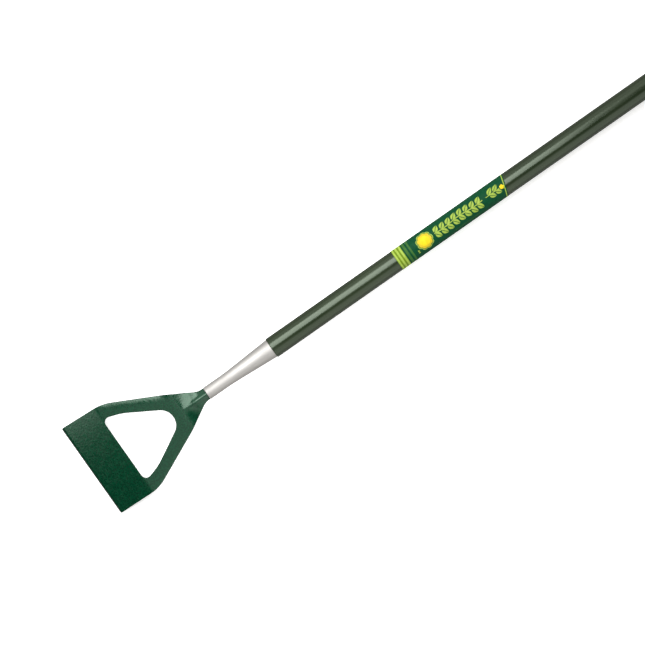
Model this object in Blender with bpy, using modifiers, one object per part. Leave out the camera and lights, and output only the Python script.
"""A Dutch (push) hoe at rest on a floor: it lies on its cutting edge and on the rim of its end cap.

The hoe is modelled along its own shaft axis, with x = 0 where the green sleeve starts, the
blade towards -X and the grip towards +X. The empty "tool_axis" then tilts it so that both
rests touch z = 0, and centres it over the world origin. Metres throughout.
"""

import math

import bmesh
import bpy
from mathutils import Vector

MM = 0.001
GAP = 0.3 * MM  # clearance between two pieces that touch on the real tool

# Head: one steel pressing, with a blade, a window, two arms and a neck
PLATE = 2.8 * MM
BLADE_EDGE_X, BLADE_EDGE_HALF = -303.0 * MM, 71.4 * MM
BLADE_CORNER_R = 2.0 * MM
CREASE_X, CREASE_BEND = -248.0 * MM, 4.0 * MM
BLADE_PITCH, ARM_PITCH = math.radians(28), math.radians(14)
SHOULDER = (-236.9 * MM, 69.6 * MM, 62.0 * MM)  # x, half width, radius
WEB_SIDE = (-154.9 * MM, 29.7 * MM, 137.0 * MM)
WAIST = (-116.7 * MM, 8.8 * MM, 27.0 * MM)
WINDOW_CORNER = (CREASE_X, 52.6 * MM, 7.5 * MM)
WINDOW_SIDE = (-220.3 * MM, 43.7 * MM, 82.0 * MM)
WINDOW_APEX = (-164.8 * MM, 12.2 * MM, 20.5 * MM)
WEB_Z, WEB_END_X, WEB_BEND = 3.5 * MM, -148.0 * MM, 8.0 * MM
GRIND_WIDTH, EDGE_THICKNESS = 3.0 * MM, 1.0 * MM
SHEET_SPARE = 6.0 * MM  # how far the uncut sheet reaches past the outline
NECK_STATIONS, NECK_STATION_STEP = 11, 3.0 * MM
CROSS_STATIONS = [y * MM for y in (1, 2.5, 4.5, 7, 10, 14, 20)]

# Neck: the sheet is folded down on both sides of a crest, and rolled round at the ferrule
CREST_Z, CREST_START_X, CREST_FULL_X = 7.5 * MM, -146.0 * MM, -128.0 * MM
CREST_ROUND = 1.5 * MM
FOLD_START_X, FOLD_FULL_X = -147.0 * MM, -138.0 * MM
FLANK_SLOPE, FLANK_HOLLOW, FLANK_HOLLOW_REACH = 0.15, 3.5 * MM, 5.0 * MM
ROLL_START_X, ROLL = -125.0 * MM, 60.0  # roll is the drop in metres per square metre of y

# Ferrule: a turned steel cone, plated, with a spigot that fits the tube
MOUTH_X, MOUTH_R = -108.5 * MM, 9.4 * MM
CONE_START_X, CONE_BEND, CONE_SLOPE = -72.0 * MM, 9.0 * MM, 0.062
FERRULE_WALL = 1.6 * MM
MOUTH_CHAMFER = 0.5 * MM
SPIGOT_END_X = 45.0 * MM

# Tang: the steel bar welded under the neck and pinned in the ferrule
TANG_TIP_X, TANG_TIP_R = -130.0 * MM, 2.0 * MM
TANG_NECK_R, TANG_TAPER_X = 4.75 * MM, -110.5 * MM
TANG_SHOULDER_X, TANG_END_X, TANG_CHAMFER = -107.7 * MM, -60.0 * MM, 1.0 * MM
WELD_R, WELD_START_X, WELD_END_X = 1.3 * MM, -123.0 * MM, -110.5 * MM
WELD_Y, WELD_Z, WELD_POINTS, WELD_END_SHARE = 6.15 * MM, -1.6 * MM, 5, 0.6

# Shaft: a steel tube in a PVC sleeve, with a printed label
SLEEVE_R, SLEEVE_WALL, SHAFT_END_X = 15.0 * MM, 0.7 * MM, 1372.0 * MM
TUBE_R, TUBE_WALL = SLEEVE_R - SLEEVE_WALL - GAP, 1.2 * MM
LABEL_START_X, LABEL_END_X = 209.0 * MM, 390.0 * MM
LABEL_GAP, LABEL_THICKNESS = 0.2 * MM, 0.2 * MM
TUBE_LIP, SLEEVE_LIP, LABEL_LIP = 0.3 * MM, 0.35 * MM, 0.08 * MM  # end chamfers

# Fixings on the underside
HEAD_RIM, PIN_CHAMFER = 0.4 * MM, 0.4 * MM
TANG_PIN_X, TANG_PIN_R, TANG_PIN_TOP = -92.0 * MM, 2.0 * MM, 3.7 * MM
TANG_PIN_HEAD_R, TANG_PIN_HEAD_H = 3.4 * MM, 1.3 * MM
TUBE_RIVET_X, TUBE_RIVET_R = 24.0 * MM, 2.0 * MM
TUBE_RIVET_HEAD_R, TUBE_RIVET_HEAD_H = 4.0 * MM, 1.4 * MM
TUBE_RIVET_TAIL_R, TUBE_RIVET_TAIL_H, TAIL_CHAMFER = 3.2 * MM, 2.2 * MM, 0.8 * MM

# End cap: a moulded plug with a flat end
CAP_R, CAP_LENGTH, CAP_ROUND = 15.6 * MM, 9.0 * MM, 3.5 * MM
CAP_CHAMFER, CAP_ARC_STEPS = 0.6 * MM, 4
PLUG_LENGTH, PLUG_WALL = 24.0 * MM, 2.2 * MM

# Tools that only cut, and how finely round shapes are divided
DIE_HALF_HEIGHT, GRINDER_SIZE, DRILL_DEPTH = 80.0 * MM, 40.0 * MM, 40.0 * MM
TURN_STEPS, TANG_STEPS, SMALL_STEPS = 40, 32, 16
ARC_STEP = math.radians(7)


def clear_scene():
    for obj in list(bpy.data.objects):
        bpy.data.objects.remove(obj, do_unlink=True)


def collection(name):
    made = bpy.data.collections.new(name)
    bpy.context.scene.collection.children.link(made)
    return made


def material(name, colour, roughness, metallic=0.0):
    made = bpy.data.materials.new(name)
    made.use_nodes = True
    shader = made.node_tree.nodes["Principled BSDF"]
    shader.inputs["Base Color"].default_value = (*colour, 1.0)
    shader.inputs["Roughness"].default_value = roughness
    shader.inputs["Metallic"].default_value = metallic
    return made


def place(name, mesh, group, parent, finish):
    obj = bpy.data.objects.new(name, mesh)
    obj.parent = parent
    group.objects.link(obj)
    if finish:
        mesh.materials.append(finish)
    return obj


def make_cutter(obj):
    obj.hide_render = True
    obj.display_type = "WIRE"


def boolean(obj, cutter, operation):
    step = obj.modifiers.new(operation.lower(), "BOOLEAN")
    step.operation = operation
    step.object = cutter


def smooth_step(value, start, end):
    share = min(max((value - start) / (end - start), 0.0), 1.0)
    return share * share * (3 - 2 * share)


def soft_ramp(value, bend):
    """0 below -bend and value above bend, joined by a parabola."""
    if value <= -bend:
        return 0.0
    if value >= bend:
        return value
    return (value + bend) ** 2 / (4 * bend)


def rounded(corners):
    """The points of a closed outline whose corners are (x, y, radius)."""
    points = []
    for index, (x, y, radius) in enumerate(corners):
        corner = Vector((x, y))
        back = (Vector(corners[index - 1][:2]) - corner).normalized()
        ahead = (Vector(corners[(index + 1) % len(corners)][:2]) - corner).normalized()
        if radius == 0:
            points.append(corner)
            continue
        half = back.angle(ahead) / 2
        centre = corner + (back + ahead).normalized() * radius / math.sin(half)
        spoke = corner + back * radius / math.tan(half) - centre
        turn = math.pi - 2 * half
        if back.cross(ahead) > 0:
            turn = -turn
        count = max(2, math.ceil(abs(turn) / ARC_STEP))
        for step in range(count + 1):
            angle = turn * step / count
            points.append(
                centre
                + Vector(
                    (
                        spoke.x * math.cos(angle) - spoke.y * math.sin(angle),
                        spoke.x * math.sin(angle) + spoke.y * math.cos(angle),
                    )
                )
            )
    return points


def both_sides(corners):
    """A closed outline, counter-clockwise, from corners on its +Y side given from -X to +X."""
    lower = [(x, -y, radius) for x, y, radius in corners]
    return rounded(lower + corners[::-1])


# ---------------------------------------------------------------- head


def ridge_distance(y):
    return math.hypot(y, CREST_ROUND) - CREST_ROUND


def sheet_height(x, y):
    """The height of the pressing's middle surface above the shaft axis."""
    z = WEB_Z
    z -= math.tan(ARM_PITCH) * soft_ramp(WEB_END_X - x, WEB_BEND)
    z -= (math.tan(BLADE_PITCH) - math.tan(ARM_PITCH)) * soft_ramp(CREASE_X - x, CREASE_BEND)
    z += (CREST_Z - WEB_Z) * smooth_step(x, CREST_START_X, CREST_FULL_X)
    off = ridge_distance(y)
    flank = FLANK_SLOPE * off + FLANK_HOLLOW * (1 - math.exp(-off / FLANK_HOLLOW_REACH))
    z -= flank * smooth_step(x, FOLD_START_X, FOLD_FULL_X)
    z -= ROLL * off * off * smooth_step(x, ROLL_START_X, MOUTH_X)
    return z


def sheet_mesh():
    """A flat sheet, cut into strips where it bends, then pressed to its heights."""
    x_cuts = [CREASE_X + step * CREASE_BEND / 2 for step in range(-2, 3)]
    x_cuts += [WEB_END_X + step * WEB_BEND / 2 for step in range(-2, 3)]
    x_cuts += [MOUTH_X - step * NECK_STATION_STEP for step in range(1, NECK_STATIONS + 1)]
    y_cuts = [0.0] + [side * y for side in (-1, 1) for y in CROSS_STATIONS]

    shape = bmesh.new()
    length = MOUTH_X - BLADE_EDGE_X + 2 * SHEET_SPARE
    width = 2 * (BLADE_EDGE_HALF + SHEET_SPARE)
    middle = (MOUTH_X + BLADE_EDGE_X) / 2
    bmesh.ops.create_grid(shape, x_segments=1, y_segments=1, size=0.5)
    bmesh.ops.scale(shape, vec=(length, width, 1), verts=shape.verts)
    bmesh.ops.translate(shape, vec=(middle, 0, 0), verts=shape.verts)
    for axis, cuts in ((0, x_cuts), (1, y_cuts)):
        for cut in cuts:
            point, normal = Vector(), Vector()
            point[axis], normal[axis] = cut, 1.0
            whole = shape.verts[:] + shape.edges[:] + shape.faces[:]
            bmesh.ops.bisect_plane(shape, geom=whole, plane_co=point, plane_no=normal)
    for vert in shape.verts:
        vert.co.z = sheet_height(vert.co.x, vert.co.y)
    mesh = bpy.data.meshes.new("sheet")
    shape.to_mesh(mesh)
    shape.free()
    return mesh


def outline_die(group, parent):
    """The blanking die: the head's outline with its window, as a tall block."""
    outer = [
        (BLADE_EDGE_X, BLADE_EDGE_HALF, BLADE_CORNER_R),
        SHOULDER,
        WEB_SIDE,
        WAIST,
        (MOUTH_X - GAP, WAIST[1], 0),
    ]
    window = [WINDOW_CORNER, WINDOW_SIDE, WINDOW_APEX]
    curve = bpy.data.curves.new("outline", "CURVE")
    curve.dimensions = "2D"
    curve.fill_mode = "BOTH"
    curve.extrude = DIE_HALF_HEIGHT
    for outline in (both_sides(outer), both_sides(window)):
        spline = curve.splines.new("POLY")
        spline.points.add(len(outline) - 1)
        for point, place_at in zip(spline.points, outline):
            point.co = (place_at.x, place_at.y, 0, 1)
        spline.use_cyclic_u = True
    flat = bpy.data.objects.new("outline", curve)
    group.objects.link(flat)
    graph = bpy.context.evaluated_depsgraph_get()
    mesh = bpy.data.meshes.new_from_object(flat.evaluated_get(graph))
    bpy.data.objects.remove(flat)
    shape = bmesh.new()
    shape.from_mesh(mesh)
    bmesh.ops.remove_doubles(shape, verts=shape.verts, dist=1e-6)
    bmesh.ops.recalc_face_normals(shape, faces=shape.faces)
    shape.to_mesh(mesh)
    shape.free()
    die = place("outline_die", mesh, group, parent, None)
    make_cutter(die)
    return die


def grinder(group, parent):
    """The block that grinds the cutting edge's bevel into the blade's top face."""
    shape = bmesh.new()
    bmesh.ops.create_cube(shape, size=1)
    size = (GRINDER_SIZE, 4 * BLADE_EDGE_HALF, GRINDER_SIZE)
    bmesh.ops.scale(shape, vec=size, verts=shape.verts)
    bmesh.ops.translate(shape, vec=(0, 0, GRINDER_SIZE / 2), verts=shape.verts)
    mesh = bpy.data.meshes.new("grinder")
    shape.to_mesh(mesh)
    shape.free()
    bevel = math.atan2(PLATE - EDGE_THICKNESS, GRIND_WIDTH)
    tool = place("edge_grinder", mesh, group, parent, None)
    up = Vector((-math.sin(BLADE_PITCH), 0, math.cos(BLADE_PITCH)))
    along = Vector((math.cos(BLADE_PITCH), 0, math.sin(BLADE_PITCH)))
    middle = Vector((BLADE_EDGE_X, 0, sheet_height(BLADE_EDGE_X, 0)))
    tool.location = middle + along * GRIND_WIDTH + up * PLATE / 2
    tool.rotation_euler = (0, -(BLADE_PITCH + bevel), 0)
    make_cutter(tool)
    return tool


def make_head(group, cutters, parent, finish):
    head = place("hoe_head", sheet_mesh(), group, parent, finish)
    plate = head.modifiers.new("plate", "SOLIDIFY")
    plate.thickness = PLATE
    plate.offset = 0.0
    plate.use_even_offset = True
    boolean(head, outline_die(cutters, parent), "INTERSECT")
    boolean(head, grinder(cutters, parent), "DIFFERENCE")
    return head


# ---------------------------------------------------------------- turned pieces


def turned(name, profile, group, parent, finish, steps=TURN_STEPS, closed=True, axis="X"):
    """A body turned about the X axis, or hanging down the Z axis, from (along, radius) points.

    The points run so that the outer side goes against the axis, from its far end back.
    """
    mesh = bpy.data.meshes.new(name)
    shape = bmesh.new()
    if axis == "X":
        verts = [shape.verts.new((along, 0, radius)) for along, radius in profile]
    else:
        verts = [shape.verts.new((radius, 0, along)) for along, radius in profile]
    count = len(verts)
    for index in range(count if closed else count - 1):
        shape.edges.new((verts[index], verts[(index + 1) % count]))
    shape.to_mesh(mesh)
    shape.free()
    obj = place(name, mesh, group, parent, finish)
    turn = obj.modifiers.new("turn", "SCREW")
    turn.axis = axis
    turn.steps = turn.render_steps = steps
    turn.use_merge_vertices = True
    turn.merge_threshold = 1e-6
    turn.use_normal_calculate = False
    turn.use_smooth_shade = True
    return obj


def cone_radius(x):
    """The ferrule's outer radius: a cylinder that bends softly into a cone."""
    return MOUTH_R + CONE_SLOPE * soft_ramp(x - CONE_START_X, CONE_BEND)


def make_ferrule(group, cutters, parent, finish):
    spigot_r = TUBE_R - TUBE_WALL - GAP
    cone = [CONE_START_X + step * CONE_BEND / 3 for step in range(-3, 4)] + [-GAP]
    outside = [(SPIGOT_END_X, spigot_r), (-GAP, spigot_r)]
    outside += [(x, cone_radius(x)) for x in reversed(cone)]
    outside += [(MOUTH_X + MOUTH_CHAMFER, MOUTH_R), (MOUTH_X, MOUTH_R - MOUTH_CHAMFER)]
    inside = [(MOUTH_X, MOUTH_R - FERRULE_WALL)]
    inside += [(x, cone_radius(x) - FERRULE_WALL) for x in cone[:-1:3]]
    inside += [(x, spigot_r - FERRULE_WALL) for x in (-GAP, SPIGOT_END_X)]
    ferrule = turned("ferrule", outside + inside, group, parent, finish)
    hole = drill("ferrule_pin_hole", TANG_PIN_X, TANG_PIN_R + GAP, cutters, parent)
    boolean(ferrule, hole, "DIFFERENCE")
    rivet_hole = drill("spigot_rivet_hole", TUBE_RIVET_X, TUBE_RIVET_R + GAP, cutters, parent)
    boolean(ferrule, rivet_hole, "DIFFERENCE")
    return ferrule


def drill(name, x, radius, cutters, parent, top=0.0):
    """A drill that comes up from below to the height given."""
    shape = bmesh.new()
    bmesh.ops.create_cone(
        shape,
        cap_ends=True,
        segments=SMALL_STEPS,
        radius1=radius,
        radius2=radius,
        depth=DRILL_DEPTH,
    )
    mesh = bpy.data.meshes.new(name)
    shape.to_mesh(mesh)
    shape.free()
    tool = place(name, mesh, cutters, parent, None)
    tool.location = (x, 0, top - DRILL_DEPTH / 2)
    make_cutter(tool)
    return tool


def make_tang(group, cutters, parent, finish):
    root_r = MOUTH_R - FERRULE_WALL - GAP
    profile = [
        (TANG_END_X, 0),
        (TANG_END_X, root_r - TANG_CHAMFER),
        (TANG_END_X - TANG_CHAMFER, root_r),
        (TANG_SHOULDER_X, root_r),
        (TANG_SHOULDER_X, TANG_NECK_R),
        (TANG_TAPER_X, TANG_NECK_R),
        (TANG_TIP_X, TANG_TIP_R),
        (TANG_TIP_X, 0),
    ]
    tang = turned("head_tang", profile, group, parent, finish, steps=TANG_STEPS, closed=False)
    hole = drill(
        "tang_pin_hole", TANG_PIN_X, TANG_PIN_R + GAP, cutters, parent, TANG_PIN_TOP + GAP
    )
    boolean(tang, hole, "DIFFERENCE")
    return tang


def make_weld(name, side, group, parent, finish):
    """One weld bead, along the tang under the neck."""
    curve = bpy.data.curves.new(name, "CURVE")
    curve.dimensions = "3D"
    curve.bevel_depth = WELD_R
    curve.bevel_resolution = 2
    curve.use_fill_caps = True
    spline = curve.splines.new("POLY")
    last = WELD_POINTS - 1
    spline.points.add(last)
    for index, point in enumerate(spline.points):
        x = WELD_START_X + (WELD_END_X - WELD_START_X) * index / last
        point.co = (x, side * WELD_Y, WELD_Z, 1)
        point.radius = WELD_END_SHARE if index in (0, last) else 1.0
    bead = bpy.data.objects.new(name, curve)
    bead.parent = parent
    group.objects.link(bead)
    curve.materials.append(finish)
    return bead


def hollow_bar(name, start, end, outer, wall, lip, group, parent, finish):
    """A straight tube with small chamfers on the outside of its ends."""
    profile = [
        (end, outer - wall),
        (end, outer - lip),
        (end - lip, outer),
        (start + lip, outer),
        (start, outer - lip),
        (start, outer - wall),
    ]
    return turned(name, profile, group, parent, finish)


def make_shaft(group, cutters, parent, steel, pvc, film):
    hole_r = TUBE_RIVET_R + GAP
    tube = hollow_bar(
        "shaft_tube", 0.0, SHAFT_END_X, TUBE_R, TUBE_WALL, TUBE_LIP, group, parent, steel
    )
    boolean(tube, drill("tube_rivet_hole", TUBE_RIVET_X, hole_r, cutters, parent), "DIFFERENCE")
    sleeve = hollow_bar(
        "pvc_sleeve", 0.0, SHAFT_END_X, SLEEVE_R, SLEEVE_WALL, SLEEVE_LIP, group, parent, pvc
    )
    boolean(sleeve, drill("sleeve_rivet_hole", TUBE_RIVET_X, hole_r, cutters, parent), "DIFFERENCE")
    label_r = SLEEVE_R + LABEL_GAP + LABEL_THICKNESS
    label = hollow_bar(
        "shaft_label",
        LABEL_START_X,
        LABEL_END_X,
        label_r,
        LABEL_THICKNESS,
        LABEL_LIP,
        group,
        parent,
        film,
    )
    return tube, sleeve, label


def dome(radius, height, base, steps=4):
    """(along, radius) points of a rivet head that bulges from base to base - height."""
    curve = (height * height + radius * radius) / (2 * height)
    spread = math.asin(radius / curve)
    return [
        (base + (curve - height) - curve * math.cos(angle), curve * math.sin(angle))
        for angle in (spread * (steps - step) / steps for step in range(steps + 1))
    ]


def make_tang_pin(group, parent, finish):
    """The drive pin that holds the tang in the ferrule, with its head underneath."""
    seat = -(MOUTH_R + GAP)
    head = dome(TANG_PIN_HEAD_R, TANG_PIN_HEAD_H, seat - HEAD_RIM)
    profile = [(TANG_PIN_TOP, 0), (TANG_PIN_TOP, TANG_PIN_R - PIN_CHAMFER)]
    profile += [(TANG_PIN_TOP - PIN_CHAMFER, TANG_PIN_R)]
    profile += [(seat, TANG_PIN_R), (seat, TANG_PIN_HEAD_R)]
    pin = turned("tang_pin", profile + head, group, parent, finish, SMALL_STEPS, False, "Z")
    pin.location.x = TANG_PIN_X
    return pin


def make_tube_rivet(group, parent, finish):
    """The blind rivet through the sleeve, the tube and the ferrule's spigot."""
    seat = -(SLEEVE_R + GAP)
    # The tail's rim bears on the spigot's round inside, whose facets lie inside its radius.
    spigot_inside = (TUBE_R - TUBE_WALL - GAP - FERRULE_WALL) * math.cos(math.pi / TURN_STEPS)
    tail = GAP - math.sqrt(spigot_inside**2 - TUBE_RIVET_TAIL_R**2)
    top = tail + TUBE_RIVET_TAIL_H
    head = dome(TUBE_RIVET_HEAD_R, TUBE_RIVET_HEAD_H, seat - HEAD_RIM)
    profile = [(top, 0), (top, TUBE_RIVET_TAIL_R - TAIL_CHAMFER)]
    profile += [(top - TAIL_CHAMFER, TUBE_RIVET_TAIL_R), (tail, TUBE_RIVET_TAIL_R)]
    profile += [(tail, TUBE_RIVET_R), (seat, TUBE_RIVET_R), (seat, TUBE_RIVET_HEAD_R)]
    rivet = turned("tube_rivet", profile + head, group, parent, finish, SMALL_STEPS, False, "Z")
    rivet.location.x = TUBE_RIVET_X
    return rivet


def make_end_cap(group, parent, finish):
    plug_r = TUBE_R - TUBE_WALL - GAP
    base = SHAFT_END_X + GAP
    end = base + CAP_LENGTH
    plug_end = SHAFT_END_X - PLUG_LENGTH
    profile = [(end, 0)]
    for step in range(CAP_ARC_STEPS + 1):
        angle = math.pi / 2 * step / CAP_ARC_STEPS
        along = end - CAP_ROUND + CAP_ROUND * math.cos(angle)
        profile.append((along, CAP_R - CAP_ROUND + CAP_ROUND * math.sin(angle)))
    profile += [(base + CAP_CHAMFER, CAP_R), (base, CAP_R - CAP_CHAMFER), (base, plug_r)]
    profile += [(plug_end, plug_r), (plug_end, plug_r - PLUG_WALL)]
    profile += [(base, plug_r - PLUG_WALL), (base, 0)]
    return turned("end_cap", profile, group, parent, finish, closed=False)


# ---------------------------------------------------------------- the whole hoe


def rest_frame():
    """The empty that lays the tool down: its tilt about Y and its place."""
    half = PLATE / 2 / math.cos(BLADE_PITCH)
    edge = Vector((BLADE_EDGE_X, sheet_height(BLADE_EDGE_X, 0) - half))
    cap_end = SHAFT_END_X + GAP + CAP_LENGTH
    rim = Vector((cap_end - CAP_ROUND, -CAP_R))
    tilt = math.atan2(rim.y - edge.y, rim.x - edge.x)
    lowest = rim.y * math.cos(tilt) - rim.x * math.sin(tilt)
    first = edge.x * math.cos(tilt) + edge.y * math.sin(tilt)
    last = cap_end * math.cos(tilt) + (CAP_R - CAP_ROUND) * math.sin(tilt)
    empty = bpy.data.objects.new("tool_axis", None)
    empty.rotation_euler = (0, tilt, 0)
    empty.location = (-(first + last) / 2, 0, -lowest)
    return empty


def main():
    clear_scene()
    hoe = collection("dutch_hoe")
    cutters = collection("cutters")
    cutters.hide_render = True
    axis = rest_frame()
    hoe.objects.link(axis)

    paint = material("head_paint", (0.012, 0.085, 0.048), 0.38)
    bare = material("bare_steel", (0.42, 0.41, 0.39), 0.45, 1.0)
    plating = material("ferrule_plating", (0.83, 0.81, 0.77), 0.16, 1.0)
    pvc = material("sleeve_pvc", (0.075, 0.1, 0.06), 0.4)
    film = material("label_film", (0.01, 0.075, 0.035), 0.35)
    plastic = material("cap_plastic", (0.03, 0.04, 0.03), 0.5)

    make_head(hoe, cutters, axis, paint)
    make_tang(hoe, cutters, axis, paint)
    make_weld("tang_weld_left", 1, hoe, axis, paint)
    make_weld("tang_weld_right", -1, hoe, axis, paint)
    make_ferrule(hoe, cutters, axis, plating)
    make_tang_pin(hoe, axis, bare)
    make_shaft(hoe, cutters, axis, bare, pvc, film)
    make_tube_rivet(hoe, axis, bare)
    make_end_cap(hoe, axis, plastic)


main()
